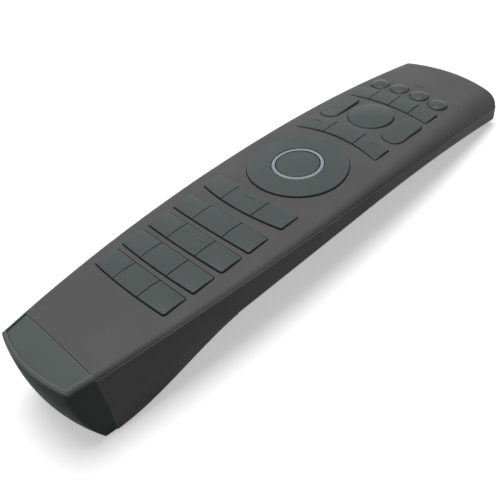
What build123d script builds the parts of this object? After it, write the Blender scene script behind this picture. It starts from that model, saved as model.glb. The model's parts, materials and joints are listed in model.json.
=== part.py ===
from build123d import *
import os
from collections import namedtuple
from math import atan2, cos, degrees, pi, radians, sin, sqrt, tan

# Projector remote control: a slender two-part housing with a deep battery heel, a slide-off end
# cap with the battery tray behind it, and thirty-one keys over a rubber mat and a circuit board.

# Lengths are in millimetres. The deck frame has its origin on the top surface at the middle of
# the navigation disc, X across, Y towards the infrared end, and Z out of the key deck.

# Outline of the housing, seen from above
widest_y = 10.0
widest_half = 29.6
cap_end_half = 20.9
nose_half = 25.2
seam_y = -113.0
nose_y = 108.8
nose_bow_radius = 59.0
cap_taper_power = 2.3
nose_taper_power = 2.2

# Long curves of the housing, seen from the side
top_radius_cap = 1900.0
top_radius_nose = 1140.0
crown_radius = 163.0
parting_apex_y = -45.0
parting_apex_z = -4.3
parting_radius = 1060.0
belly_y = 15.0
edge_apex_z = -11.8
edge_radius_cap = 725.0
edge_radius_nose = 368.0
keel_apex_z = -19.8
keel_radius = 830.0
heel_start_y = -52.0
heel_end_y = -116.0
heel_top_z = -16.0
heel_bottom_z = -36.6

# Cross-section
side_lean = 2.0
heel_lean = 6.0
shoulder_small = 2.0
shoulder_growth = 8.2
shoulder_power = 3
lower_edge_fillet = 2.0
heel_edge_fillet = 2.4
nose_round = 10.0
foot_depth = 0.35

# Walls and fits
wall = 2.0
rim_step = 0.25
end_wall = 1.8
cap_wall = 1.8
cap_seam_gap = 0.05
cap_fit = 0.25
spigot_wall = 1.3
spigot_setback = 4.2
key_gap = 0.3
neighbour_gap = 0.3
slide_fit = 0.3
seat_fit = 0.1

# End cap
tip_y = -126.1
front_radius = 56.0
front_bulge_z = -8.0
front_bulge_radius = 60.0
front_high_z = 14.0
front_low_z = -48.0
front_edge_round = 0.9
front_corner_round = 2.5
corner_y = -121.0
cap_front_wall = 2.0
cap_lip = 1.6
cap_lip_height = 0.6
cap_ground_gap = 0.2

# Keys, seen from above
first_row_near = -85.4
row_pitch = 12.4
row_depth = 10.1
row_near_bow = -1.25
row_far_bow = -0.75
first_row_half = 19.2
row_half_growth = 0.37
first_row_cut = 6.75
row_cut_growth = 0.4
key_corner = 0.8
nav_radius = 20.0
nav_bore_radius = 10.55
disc_lift = 0.25
ring_outer_radius = 10.2
ring_inner_radius = 8.95
ring_bottom = -5.0
select_radius = 8.6
rocker_x = 16.35
rocker_y = 44.7
rocker_width = 9.1
rocker_length = 19.6
rocker_corner = 4.0
rocker_dome = 5.8
nav_dome_radius = 15.5
centre_key_y = 45.4
centre_key_radius = 9.55
small_key_radius = 4.0
small_key_places = [(-15.1, 71.7), (-5.2, 72.4), (5.2, 72.4), (15.1, 71.7)]
slit_y = 79.8
slit_length = 4.75
slit_width = 1.05

# Board, mat and what stands on them
board_margin = 6.5
board_start_y = -104.0
board_end_y = 91.0
mat_margin = 4.8
mat_start_y = -88.0
mat_end_y = 77.4
boss_radius = 2.3
boss_places = [(17.6, -92.0), (-17.6, -92.0), (20.6, 84.0), (-20.6, 84.0)]
screw_radius = 1.1
screw_head_radius = 2.0
screw_head_height = 1.5
screw_seat_z = -17.0
screw_tip_z = -7.5
boss_low = -11.5
chip_height = 1.2
lens_foot = 1.6
lens_foot_margin = 1.0
post_radius = 1.8
post_places = [(x, y) for y in (-20.0, 24.0, 62.0) for x in (-11.0, 11.0)]

# Battery tray and its cells
cell_radius = 5.2
cell_length = 44.5
cell_nub_radius = 1.9
cell_nub_length = 0.8
cell_spacing = 11.8
contact_room = 2.2
tray_wall = 1.2
tray_floor = 0.9
tray_corner = 4.4
bay_wall = 1.2
lid_width = 30.0
lid_corner = 3.0
lid_thickness = 1.3
lid_top_z = -8.5
lid_bottom_z = -24.0
strip_thickness = 0.4
strip_width = 7.0

# Infrared end
window_width = 24.0
window_height = 6.0
window_z = -16.2
window_flange = 1.2
window_setback = 0.1
window_back_y = nose_y - 6.0
led_x = 6.5
led_radius = 2.5
led_length = 8.6
led_collar = 0.4
led_gap = 1.6
leg_spacing = 2.54
leg_half = 0.25
leg_reach = 2.0

# Key stack, measured in Z
key_proud = 0.9
key_edge_fillet = 0.35
key_flange_top = -5.6
key_flange_thickness = 0.65
key_flange_width = 0.75
key_travel = 0.8
stop_clearance = 0.15
mat_thickness = 0.8
board_thickness = 1.4
dome_height = 0.8
dome_base_radius = 2.7
dome_top_radius = 2.1
dome_recess_radius = 3.0
dome_sides = 12

flange_bottom = key_flange_top - key_flange_thickness
mat_top = flange_bottom - key_travel - stop_clearance
board_top = mat_top - mat_thickness
board_bottom = board_top - board_thickness
dome_recess_depth = mat_top + dome_height - flange_bottom + key_travel + stop_clearance
tiny = 0.01
reach = 45.0


def drop(distance, radius):
    """Fall of an arc at this distance from its highest point."""
    return radius - sqrt(radius**2 - distance**2)


def half_width(y):
    if y < widest_y:
        share = (widest_y - y) / (widest_y - seam_y)
        return widest_half - (widest_half - cap_end_half) * share**cap_taper_power
    share = (y - widest_y) / (nose_y - widest_y)
    return widest_half - (widest_half - nose_half) * share**nose_taper_power


def top_z(y):
    return -drop(y, top_radius_cap if y < 0 else top_radius_nose)


def surface_z(x, y):
    return top_z(y) - drop(x, crown_radius)


def parting_z(y):
    return parting_apex_z - drop(y - parting_apex_y, parting_radius)


def edge_z(y):
    radius = edge_radius_cap if y < belly_y else edge_radius_nose
    return edge_apex_z - drop(y - belly_y, radius)


def keel_z(y):
    return keel_apex_z - drop(y - belly_y, keel_radius)


def shoulder_radius(y):
    share = (y - tip_y) / (nose_y - tip_y)
    return shoulder_small + shoulder_growth * max(share, 0) ** shoulder_power


def lower_radius(y):
    """Rounding of the lower edge, which sharpens where the heel takes over."""
    share = min(max((y - heel_start_y) / 25.0 + 1.0, 0.0), 1.0)
    return 0.3 + (lower_edge_fillet - 0.3) * share


def heel_z(y):
    share = min(max((heel_start_y - y) / (heel_start_y - heel_end_y), 0.0), 1.0)
    return heel_top_z + (heel_bottom_z - heel_top_z) * share**2 * (3.0 - 2.0 * share)


def side_x(y, z):
    """Half width of the side wall at a height, with its inward lean."""
    return half_width(y) - (surface_z(half_width(y), y) - z) * tan(radians(side_lean))


def body_section(y, inset):
    """Cross-section of the slender body, drawn in by an inset all round."""
    half = half_width(y) - inset
    shoulder = surface_z(half, y) - inset
    edge = edge_z(y) + inset
    foot = side_x(y, edge_z(y)) - inset
    with BuildSketch(Plane.XZ.offset(-y)) as section:
        with BuildLine():
            crown = ThreePointArc((-half, shoulder), (0, top_z(y) - inset), (half, shoulder))
            under = ThreePointArc((foot, edge), (0, keel_z(y) + inset), (-foot, edge))
            Line(crown @ 1, under @ 0)
            Line(under @ 1, crown @ 0)
        make_face()
        upper = [v for v in section.vertices() if abs(v.Y - shoulder) < tiny]
        fillet(upper, max(shoulder_radius(y) - inset, 0.6))
        lower = [v for v in section.vertices() if abs(v.Y - edge) < tiny]
        fillet(lower, max(lower_radius(y) - inset, 0.25))
    return section.sketch


def heel_section(y, inset):
    """Cross-section of the battery heel, hung under the body's lower edge."""
    edge = edge_z(y)
    crease = side_x(y, edge) - 0.35 * lower_radius(y) - inset
    depth = max(edge - heel_z(y) - inset, 0.6)
    foot = crease - depth * tan(radians(heel_lean))
    bottom = edge - depth
    inner = crease - wall
    with BuildSketch(Plane.XZ.offset(-y)) as section:
        with BuildLine():
            Polyline(
                (-crease, edge),
                (-foot, bottom),
                (foot, bottom),
                (crease, edge),
                (inner, edge + wall),
                (-inner, edge + wall),
                close=True,
            )
        make_face()
        low = [v for v in section.vertices() if abs(v.Y - bottom) < tiny]
        fillet(low, min(heel_edge_fillet, 0.45 * (edge - bottom)))
    return section.sketch


def spread(first, last, count):
    return [first + (last - first) * i / (count - 1) for i in range(count)]


def slender_body(inset, first, last, count):
    with BuildPart() as body:
        loft([body_section(y, inset) for y in spread(first, last, count)])
    return body.part


def heel(inset, first, last, count):
    with BuildPart() as bulge:
        loft([heel_section(y, inset) for y in spread(first, last, count)])
    return bulge.part


# Trimming solids

foot_y = (-112.0, 104.0)
foot_z = (
    heel_z(foot_y[0]) - rim_step + foot_depth,
    keel_z(foot_y[1]) - rim_step + foot_depth,
)
rest_tilt = degrees(atan2(foot_z[1] - foot_z[0], foot_y[1] - foot_y[0]))
rest_plane = Plane(
    origin=(0, foot_y[0], foot_z[0]),
    x_dir=(1, 0, 0),
    z_dir=(0, -sin(radians(rest_tilt)), cos(radians(rest_tilt))),
)
seam_tilt = 3.0
seam_hinge_z = -5.0
seam_plane = Plane(
    origin=(0, seam_y, seam_hinge_z), z_dir=(0, cos(radians(seam_tilt)), sin(radians(seam_tilt)))
)


def parting_block():
    """Everything below the parting line of the two covers."""
    with BuildPart() as block:
        with BuildSketch(Plane.YZ):
            with BuildLine():
                line = ThreePointArc(
                    (-150, parting_z(-150)), (parting_apex_y, parting_apex_z), (130, parting_z(130))
                )
                Polyline(line @ 1, (130, -70), (-150, -70), line @ 0)
            make_face()
        extrude(amount=reach, both=True)
    return block.part


def nose_block(inset):
    """Everything behind the bowed and rounded infrared end."""
    start_y = nose_y - nose_round
    start_z = top_z(start_y) - inset
    slope = start_y / top_radius_nose
    end_y = nose_y - inset
    hinge_y = nose_y - nose_bow_radius
    with BuildPart() as block:
        with BuildSketch(Plane.YZ):
            with BuildLine():
                over = TangentArc(
                    (start_y, start_z), (end_y, start_z - nose_round + inset), tangent=(1, -slope)
                )
                Polyline(over @ 1, (end_y, -70), (hinge_y, -70), (hinge_y, 20), (start_y, 20), over @ 0)
            make_face()
        revolve(axis=Axis((0, hinge_y, 0), (0, 0, 1)))
        with BuildSketch(Plane.XY.offset(-70)):
            with Locations((0, hinge_y - 100)):
                Rectangle(2 * reach, 200)
        extrude(amount=90)
    return block.part


def front_block(offset, rounding=0.0):
    """Everything behind the bulging front face; its rounded top edge runs along the crown."""
    lean = front_radius / crown_radius + tip_y / top_radius_cap
    high_z = top_z(tip_y) - rounding if rounding else front_high_z
    low_y, high_y = [
        tip_y + offset + drop(z - front_bulge_z, front_bulge_radius) for z in (front_low_z, high_z)
    ]
    hinge = [(tip_y + front_radius + (z - top_z(tip_y)) * lean, z) for z in (20, front_low_z)]
    with BuildPart() as block:
        with BuildSketch(Plane.YZ):
            with BuildLine():
                face = ThreePointArc((low_y, front_low_z), (tip_y + offset, front_bulge_z), (high_y, high_z))
                last = face
                if rounding:
                    over = (high_y + rounding, high_z + rounding)
                    last = TangentArc(face @ 1, over, tangent=face % 1)
                Polyline(last @ 1, ((last @ 1).X, 20), *hinge, face @ 0)
            make_face()
        revolve(axis=Axis((0, *hinge[0]), (0, lean, 1)))
        with BuildSketch(Plane.XY.offset(front_low_z)):
            Rectangle(2 * reach, 200)
        extrude(amount=20 - front_low_z)
    return block.part


def front_corners():
    """The front face between two side planes, with its upright corners rounded."""
    flare = (half_width(corner_y + 1) - half_width(corner_y - 1)) / 2
    half = side_x(corner_y, front_low_z) + 3 * tiny
    with BuildPart() as block:
        with BuildSketch(Plane.XY.offset(front_low_z)):
            with BuildLine():
                near, far = [half + flare * (y - corner_y) for y in (-140, -80)]
                Polyline((-near, -140), (near, -140), (far, -80), (-far, -80), close=True)
            make_face()
        extrude(amount=front_high_z - front_low_z, taper=-side_lean)
        add(front_block(0), mode=Mode.INTERSECT)
        upright = block.edges().filter_by(lambda e: e.center().Y < corner_y and e.length > 60)
        fillet(upright, front_corner_round)
    return block.part


def full_body(inset, first=-136.0, last=112.0, count=11):
    """Slender body and heel together, drawn in by an inset."""
    with BuildPart() as whole:
        add(slender_body(inset, first, last, count))
        add(heel(inset, first, -60.0, 7))
    return whole.part


def end_body(inset):
    """The cap end of the full body alone."""
    with BuildPart() as whole:
        add(slender_body(inset, -136.0, -100.0, 4))
        add(heel(inset, -136.0, -100.0, 4))
    return whole.part


def cavity():
    """Room inside the covers, narrowed where they enter the end cap."""
    bore_inset = cap_wall + cap_fit + spigot_wall
    with BuildPart() as room:
        add(full_body(wall))
        add(nose_block(wall), mode=Mode.INTERSECT)
        split(bisect_by=seam_plane.offset(end_wall), keep=Keep.TOP)
        with BuildPart(mode=Mode.PRIVATE) as bore:
            add(end_body(bore_inset))
            split(bisect_by=seam_plane.offset(end_wall + 1), keep=Keep.BOTTOM)
        add(bore.part)
    return room.part


def spigot():
    """Collar of the covers that the end cap slides over."""
    with BuildPart() as collar:
        add(end_body(cap_wall + cap_fit))
        add(front_block(spigot_setback), mode=Mode.INTERSECT)
        split(bisect_by=seam_plane.offset(end_wall / 2), keep=Keep.BOTTOM)
    return collar.part


# Keys

Row = namedtuple("Row", "name near far near_bow far_bow half cuts crown")


def front_rows():
    for i in range(4):
        near = first_row_near + i * row_pitch
        cut = first_row_cut + i * row_cut_growth
        half = first_row_half + i * row_half_growth
        yield Row(f"row{i + 1}", near, near + row_depth, row_near_bow, row_far_bow, half, (-cut, cut), 38)


rows = [
    *front_rows(),
    Row("row5", -34.0, -24.0, -3.0, -1.8, 20.6, (-7.9, 7.9), 60),
    Row("row6", 24.3, 33.6, 2.65, 3.2, 20.6, (-7.6, 7.6), 60),
    Row("row7", 57.3, 66.0, 1.1, 1.3, 19.9, (-10.2, 0, 10.2), 45),
]
side_names = {3: ("left", "middle", "right"), 4: ("first", "second", "third", "fourth")}


def row_sketch(row, grow):
    """Outline of a key row, drawn at the flange's underside; its bows point away from the disc."""
    half = row.half + grow
    near, far = row.near - grow, row.far + grow
    with BuildSketch(Plane.XY.offset(flange_bottom)) as outline:
        with BuildLine():
            front = ThreePointArc((-half, near - row.near_bow), (0, near), (half, near - row.near_bow))
            back = ThreePointArc((half, far - row.far_bow), (0, far), (-half, far - row.far_bow))
            Line(front @ 1, back @ 0)
            Line(back @ 1, front @ 0)
        make_face()
        fillet(outline.vertices(), key_corner + grow)
    return outline.sketch


def key_sketch(row, left, right, grow):
    """One key of a row, between two cuts."""
    with BuildSketch(Plane.XY.offset(flange_bottom)) as outline:
        add(row_sketch(row, grow))
        with Locations(((left + right) / 2, (row.near + row.far) / 2)):
            Rectangle(right - left, 40, mode=Mode.INTERSECT)
    return outline.sketch


def crown_solid(middle_y, proud, along_radius):
    """Ring whose outside is the keys' crowned top: bent across the housing and along it."""
    top = top_z(middle_y) + proud
    width = 30.0
    with BuildPart() as ring:
        with BuildSketch(Plane.YZ):
            with BuildLine():
                sag = drop(width, max(along_radius, width + 1))
                arc = ThreePointArc(
                    (middle_y - width, top - sag), (middle_y, top), (middle_y + width, top - sag)
                )
                Polyline(arc @ 1, (middle_y + width, top - 45), (middle_y - width, top - 45), arc @ 0)
            make_face()
        revolve(axis=Axis((0, 0, top - crown_radius), (0, 1, 0)))
    return ring.part


def sketched_key(outline, flange, crown, recess_at):
    """Key with a flange under the cover and a recess over the mat's dome."""
    with BuildPart() as key:
        add(outline)
        extrude(amount=-flange_bottom + 3)
        add(crown, mode=Mode.INTERSECT)
        fillet(key.faces().sort_by(Axis.Z)[-1].edges(), key_edge_fillet)
        add(flange)
        extrude(amount=key_flange_thickness)
        with BuildSketch(Plane.XY.offset(flange_bottom)):
            with Locations(recess_at):
                RegularPolygon(dome_recess_radius, dome_sides)
        extrude(amount=dome_recess_depth, mode=Mode.SUBTRACT)
    return key.part


def round_key(x, y, radius, rise, recess_radius):
    """Turned key: flange, stem, rounded edge and domed top."""
    base = surface_z(x, y) + key_proud * 0.6
    rim = radius + key_flange_width
    with BuildPart() as key:
        with BuildSketch(Plane.XZ.offset(-y)):
            with BuildLine():
                dome = ThreePointArc(
                    (x, base + rise),
                    (x + radius * 0.55, base + rise * 0.70),
                    (x + radius - key_edge_fillet / 2, base),
                )
                Polyline(
                    dome @ 1,
                    (x + radius, base - key_edge_fillet),
                    (x + radius, key_flange_top),
                    (x + rim, key_flange_top),
                    (x + rim, flange_bottom),
                    (x + recess_radius, flange_bottom),
                    (x + recess_radius, flange_bottom + dome_recess_depth),
                    (x, flange_bottom + dome_recess_depth),
                    dome @ 0,
                )
            make_face()
        revolve(axis=Axis((x, y, 0), (0, 0, 1)))
    return key.part


def save(part, name):
    part.label = name
    pieces[name] = part


pieces = {}
room = cavity()
collar = spigot()
lower_block = parting_block()

# Keys in rows
for row in rows:
    middle = (row.near + row.far) / 2
    crown = crown_solid(middle, key_proud, row.crown)
    edges = [-row.half - 2, *row.cuts, row.half + 2]
    names = side_names[len(row.cuts) + 1]
    for left, right, side in zip(edges, edges[1:], names):
        left_cut = left + neighbour_gap / 2
        right_cut = right - neighbour_gap / 2
        outline = key_sketch(row, left_cut, right_cut, 0)
        flange = key_sketch(
            row._replace(near=row.near - key_flange_width, far=row.far + key_flange_width),
            left_cut, right_cut, 0,
        )
        centre = outline.center()
        key = sketched_key(outline, flange, crown, [(centre.X, centre.Y)])
        save(key, f"key_{row.name}_{side}")

# Rocker keys beside the centre key
for side, x in (("left", -rocker_x), ("right", rocker_x)):
    with BuildSketch(Plane.XY.offset(flange_bottom)) as outline:
        with Locations((x, rocker_y)):
            RectangleRounded(rocker_width, rocker_length, rocker_corner)
    with BuildSketch(Plane.XY.offset(flange_bottom)) as flange:
        with Locations((x, rocker_y)):
            RectangleRounded(rocker_width, rocker_length + 2 * key_flange_width, rocker_corner)
    crown = crown_solid(rocker_y, key_proud, 260)
    ends = [(x, rocker_y - rocker_dome), (x, rocker_y + rocker_dome)]
    save(sketched_key(outline.sketch, flange.sketch, crown, ends), f"rocker_{side}")

# Round keys
save(round_key(0, centre_key_y, centre_key_radius, 1.1, dome_recess_radius), "centre_key")
for i, (x, y) in enumerate(small_key_places):
    save(round_key(x, y, small_key_radius, 1.0, dome_recess_radius), f"round_key_{i + 1}")
save(round_key(0, 0, select_radius, 0.25, dome_recess_radius), "select_key")

# Navigation disc, lifted so that its rim clears the mat when it tilts both ways at once
disc_bottom = flange_bottom + disc_lift
with BuildPart() as nav_disc:
    with BuildSketch(Plane.XY.offset(disc_bottom)):
        Circle(nav_radius)
    extrude(amount=-disc_bottom + 3)
    add(crown_solid(0, key_proud, 1200), mode=Mode.INTERSECT)
    fillet(nav_disc.faces().sort_by(Axis.Z)[-1].edges(), key_edge_fillet)
    with BuildSketch(Plane.XY.offset(disc_bottom)):
        Circle(nav_radius + key_flange_width)
    extrude(amount=key_flange_thickness - disc_lift)
    with BuildSketch(Plane.XY.offset(disc_bottom)):
        Circle(nav_bore_radius)
    extrude(amount=12, mode=Mode.SUBTRACT)
    with BuildSketch(Plane.XY.offset(disc_bottom)):
        with PolarLocations(nav_dome_radius, 4):
            RegularPolygon(dome_recess_radius, dome_sides)
    extrude(amount=dome_recess_depth - disc_lift, mode=Mode.SUBTRACT)
save(nav_disc.part, "nav_disc")

# Light ring in the disc's bore
with BuildPart() as light_ring:
    with BuildSketch(Plane.XY.offset(ring_bottom)):
        Circle(ring_outer_radius)
        Circle(ring_inner_radius, mode=Mode.SUBTRACT)
    extrude(amount=-ring_bottom + 3)
    add(crown_solid(0, key_proud * 0.8, 1200), mode=Mode.INTERSECT)
save(light_ring.part, "light_ring")


def opening(sketch_part, depth_from=-14.0, height=20.0):
    """Prism through the top cover with the outline of a sketch."""
    with BuildPart() as prism:
        add(sketch_part.moved(Location((0, 0, depth_from - flange_bottom))))
        extrude(amount=height)
    return prism.part


# Top cover, and the hole that it shares with the bottom cover for the window
with BuildPart() as window_cut:
    with BuildSketch(Plane.XZ.offset(-window_back_y)):
        with Locations((0, window_z)):
            SlotOverall(window_width + 2 * seat_fit, window_height + 2 * seat_fit)
    extrude(amount=-8)

with BuildPart() as top_cover:
    add(slender_body(0, -136.0, 112.0, 11))
    add(nose_block(0), mode=Mode.INTERSECT)
    split(bisect_by=seam_plane, keep=Keep.TOP)
    add(collar)
    add(room, mode=Mode.SUBTRACT)
    add(lower_block, mode=Mode.SUBTRACT)
    for x, y in boss_places:
        with BuildSketch(Plane.XY.offset(boss_low)):
            with Locations((x, y)):
                Circle(boss_radius)
        extrude(amount=surface_z(x, y) - wall / 2 - boss_low)
    for row in rows:
        add(opening(row_sketch(row, key_gap)), mode=Mode.SUBTRACT)
    with BuildSketch(Plane.XY.offset(-14)):
        Circle(nav_radius + key_gap)
        with Locations((0, centre_key_y)):
            Circle(centre_key_radius + key_gap)
        with Locations(*small_key_places):
            Circle(small_key_radius + key_gap)
        with Locations((-rocker_x, rocker_y), (rocker_x, rocker_y)):
            RectangleRounded(
                rocker_width + 2 * key_gap, rocker_length + 2 * key_gap, rocker_corner + key_gap
            )
        with Locations((0, slit_y)):
            SlotOverall(slit_length + 2 * seat_fit, slit_width + 2 * seat_fit)
    extrude(amount=20, mode=Mode.SUBTRACT)
    with BuildSketch(Plane.XY.offset(-14)):
        with Locations(*small_key_places):
            Circle(small_key_radius + key_flange_width + slide_fit)
    extrude(amount=14 + key_flange_top + slide_fit, mode=Mode.SUBTRACT)
    with BuildSketch(Plane.XY.offset(-40)):
        with Locations(*boss_places):
            Circle(screw_radius)
    extrude(amount=40 + screw_tip_z + slide_fit, mode=Mode.SUBTRACT)
    add(window_cut.part, mode=Mode.SUBTRACT)
save(top_cover.part, "top_cover")


def cap_panel():
    """Shallow recess of the end cap's top, behind and between its raised lips."""
    stations = (-100.0, -130.0)
    with BuildPart() as panel:
        with BuildSketch(Plane.XY.offset(-8)):
            with BuildLine():
                right, left = [
                    [(side * (half_width(y) - cap_lip), y) for y in stations] for side in (1, -1)
                ]
                Polyline(*right, *reversed(left), close=True)
            make_face()
        extrude(amount=20)
        add(front_block(cap_lip), mode=Mode.INTERSECT)
        add(slender_body(cap_lip_height, -140.0, -90.0, 4), mode=Mode.SUBTRACT)
    return panel.part


# End cap
with BuildPart() as end_cap:
    add(full_body(0, -136.0, -90.0, 5))
    add(front_block(-3 * tiny, front_edge_round), mode=Mode.INTERSECT)
    add(front_corners(), mode=Mode.INTERSECT)
    split(bisect_by=seam_plane.offset(-cap_seam_gap), keep=Keep.BOTTOM)
    add(cap_panel(), mode=Mode.SUBTRACT)
    with BuildPart(mode=Mode.PRIVATE) as hollow:
        add(end_body(cap_wall))
        add(front_block(cap_front_wall), mode=Mode.INTERSECT)
    add(hollow.part, mode=Mode.SUBTRACT)
    split(bisect_by=rest_plane.offset(cap_ground_gap), keep=Keep.TOP)
save(end_cap.part, "end_cap")

# Bottom cover
cell_z = board_bottom - slide_fit - seat_fit - cell_radius
tray_top = board_bottom - slide_fit
tray_bottom = cell_z - cell_radius - tray_floor
tray_half = cell_spacing / 2 + cell_radius + tray_wall
tray_front_y = seam_y + seat_fit
tray_back_y = tray_front_y + cell_length + 2 * contact_room + 2 * tray_wall
bay_half = tray_half + slide_fit
bay_bottom = tray_bottom - slide_fit
bay_back_y = tray_back_y + slide_fit


def trough(half, low, high, first, last, corner):
    """Straight trough with rounded lower corners."""
    with BuildPart() as shape:
        with BuildSketch(Plane.XZ.offset(-first)) as profile:
            with Locations((0, (low + high) / 2)):
                Rectangle(2 * half, high - low)
            fillet([v for v in profile.vertices() if v.Y < (low + high) / 2], corner)
        extrude(amount=-(last - first))
    return shape.part


def lid_plate(grow, front_y):
    """The tray's lid, grown all round, from its seat on the tray to a place ahead of it."""
    with BuildPart() as plate:
        with BuildSketch(Plane.XZ.offset(-tray_front_y)):
            with Locations((0, (lid_top_z + lid_bottom_z) / 2)):
                RectangleRounded(
                    lid_width + 2 * grow, lid_top_z - lid_bottom_z + 2 * grow, lid_corner + grow
                )
        extrude(amount=tray_front_y - front_y)
    return plate.part


with BuildPart() as bottom_cover:
    add(full_body(-rim_step))
    add(nose_block(-rim_step), mode=Mode.INTERSECT)
    split(bisect_by=seam_plane, keep=Keep.TOP)
    add(collar)
    add(room, mode=Mode.SUBTRACT)
    with BuildPart(mode=Mode.PRIVATE) as bulkhead:
        add(end_body(0.5))
        split(bisect_by=seam_plane, keep=Keep.TOP)
        split(bisect_by=seam_plane.offset(end_wall), keep=Keep.BOTTOM)
    add(bulkhead.part)
    with BuildPart(mode=Mode.PRIVATE) as inner_parts:
        add(trough(bay_half + bay_wall, bay_bottom - bay_wall, board_bottom - seat_fit,
                   seam_y + 1, bay_back_y + bay_wall, tray_corner + slide_fit + bay_wall))
        with BuildSketch(Plane.XY.offset(-40)):
            with Locations(*post_places):
                Circle(post_radius)
        extrude(amount=40 + board_bottom)
        with BuildSketch(Plane.XY.offset(-40)):
            with Locations(*boss_places):
                Circle(boss_radius + 1)
        extrude(amount=40 + boss_low - tiny)
        add(full_body(wall / 2), mode=Mode.INTERSECT)
        add(nose_block(wall / 2), mode=Mode.INTERSECT)
        split(bisect_by=seam_plane, keep=Keep.TOP)
    add(inner_parts.part)
    add(trough(bay_half, bay_bottom, board_bottom + 20, tip_y, bay_back_y,
               tray_corner + slide_fit), mode=Mode.SUBTRACT)
    add(lower_block, mode=Mode.INTERSECT)
    for low, high, radius in (
        (-45, screw_seat_z, screw_head_radius + seat_fit),
        (-45, boss_low + 1, screw_radius + seat_fit),
        (boss_low, 10, boss_radius + slide_fit),
    ):
        with BuildSketch(Plane.XY.offset(low)):
            with Locations(*boss_places):
                Circle(radius)
        extrude(amount=high - low, mode=Mode.SUBTRACT)
    for row in rows:
        add(opening(row_sketch(row, key_gap), board_top), mode=Mode.SUBTRACT)
    add(window_cut.part, mode=Mode.SUBTRACT)
    add(lid_plate(slide_fit, tip_y), mode=Mode.SUBTRACT)
    split(bisect_by=rest_plane, keep=Keep.TOP)
save(bottom_cover.part, "bottom_cover")


# Circuit board, mat and light guide


def plan_sketch(first, last, margin, height):
    """Outline that follows the housing from above, kept back by a margin."""
    stations = spread(first, last, 7)
    with BuildSketch(Plane.XY.offset(height)) as outline:
        with BuildLine():
            right = Spline(*[(half_width(y) - margin, y) for y in stations])
            left = Spline(*[(margin - half_width(y), y) for y in stations])
            Line(left @ 0, right @ 0)
            Line(left @ 1, right @ 1)
        make_face()
        fillet(outline.vertices(), 3)
        with Locations(*boss_places):
            Circle(boss_radius + slide_fit, mode=Mode.SUBTRACT)
    return outline.sketch


with BuildPart() as circuit_board:
    add(plan_sketch(board_start_y, board_end_y, board_margin, board_bottom))
    extrude(amount=board_thickness)
save(circuit_board.part, "circuit_board")

dome_places = []
for row in rows:
    ends = [-row.half, *row.cuts, row.half]
    for left, right in zip(ends, ends[1:]):
        centre = key_sketch(row, left, right, 0).center()
        dome_places.append((centre.X, centre.Y))
dome_places += [(x, rocker_y + dy) for x in (-rocker_x, rocker_x) for dy in (-rocker_dome, rocker_dome)]
dome_places += [(0, centre_key_y), (0, 0), *small_key_places]
dome_places += [(nav_dome_radius * cos(a), nav_dome_radius * sin(a)) for a in (0, pi / 2, pi, -pi / 2)]
with BuildPart() as keypad_mat:
    add(plan_sketch(mat_start_y, mat_end_y, mat_margin, board_top))
    extrude(amount=mat_thickness)
    with BuildSketch(Plane.XY.offset(mat_top)):
        with Locations(*dome_places):
            RegularPolygon(dome_base_radius, dome_sides)
    extrude(amount=dome_height, taper=degrees(atan2(dome_base_radius - dome_top_radius, dome_height)))
save(keypad_mat.part, "keypad_mat")

with BuildPart() as indicator_lens:
    with BuildSketch(Plane.XY.offset(board_top)):
        with Locations((0, slit_y)):
            SlotOverall(slit_length, slit_width)
    extrude(amount=surface_z(0, slit_y) - board_top - seat_fit)
    with BuildSketch(Plane.XY.offset(board_top)):
        with Locations((0, slit_y)):
            SlotOverall(slit_length + 2 * lens_foot_margin, slit_width + 2 * lens_foot_margin)
    extrude(amount=lens_foot)
save(indicator_lens.part, "indicator_lens")

# Chips under the board
with BuildPart() as board_chips:
    for x, y, length, width in ((0, 10, 10, 10), (3, 38, 8, 6), (-9, 48, 4.6, 11)):
        with BuildSketch(Plane.XY.offset(board_bottom - chip_height)):
            with Locations((x, y)):
                RectangleRounded(length, width, 0.4)
        extrude(amount=chip_height)
save(board_chips.part, "board_chips")

# Infrared emitters with their legs bent down from the board, and the window before them
led_y = nose_y - wall - window_flange - led_length - led_gap
with BuildPart() as ir_emitters:
    for x in (-led_x, led_x):
        with BuildSketch(Plane.YZ.offset(x)):
            with BuildLine():
                dome = CenterArc((led_y + led_length - led_radius, window_z), led_radius, 0, 90)
                Polyline(
                    dome @ 1,
                    (led_y + 1, window_z + led_radius),
                    (led_y + 1, window_z + led_radius + led_collar),
                    (led_y, window_z + led_radius + led_collar),
                    (led_y, window_z),
                    dome @ 0,
                )
            make_face()
        revolve(axis=Axis((x, led_y, window_z), (0, 1, 0)))
        for dx in (-leg_spacing / 2, leg_spacing / 2):
            far_y = led_y - leg_reach
            with BuildSketch(Plane.YZ.offset(x + dx)):
                with BuildLine():
                    Polyline(
                        (led_y + tiny, window_z - leg_half), (far_y - leg_half, window_z - leg_half),
                        (far_y - leg_half, board_bottom), (far_y + leg_half, board_bottom),
                        (far_y + leg_half, window_z + leg_half), (led_y + tiny, window_z + leg_half),
                        close=True,
                    )
                make_face()
            extrude(amount=leg_half, both=True)
save(ir_emitters.part, "ir_emitters")

with BuildPart() as ir_window:
    with BuildSketch(Plane.XZ.offset(-window_back_y)):
        with Locations((0, window_z)):
            SlotOverall(window_width, window_height)
    extrude(amount=-8)
    add(nose_block(window_setback), mode=Mode.INTERSECT)
    with BuildPart(mode=Mode.PRIVATE) as back:
        add(nose_block(wall + window_flange))
    add(back.part, mode=Mode.SUBTRACT)
    with BuildPart(mode=Mode.PRIVATE) as flange_plate:
        with BuildSketch(Plane.XZ.offset(-window_back_y)):
            with Locations((0, window_z)):
                SlotOverall(window_width + 2 * window_flange, window_height + 2 * window_flange)
        extrude(amount=-8)
        add(nose_block(wall + 0.05), mode=Mode.INTERSECT)
        add(back.part, mode=Mode.SUBTRACT)
    add(flange_plate.part)
save(ir_window.part, "ir_window")

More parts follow.
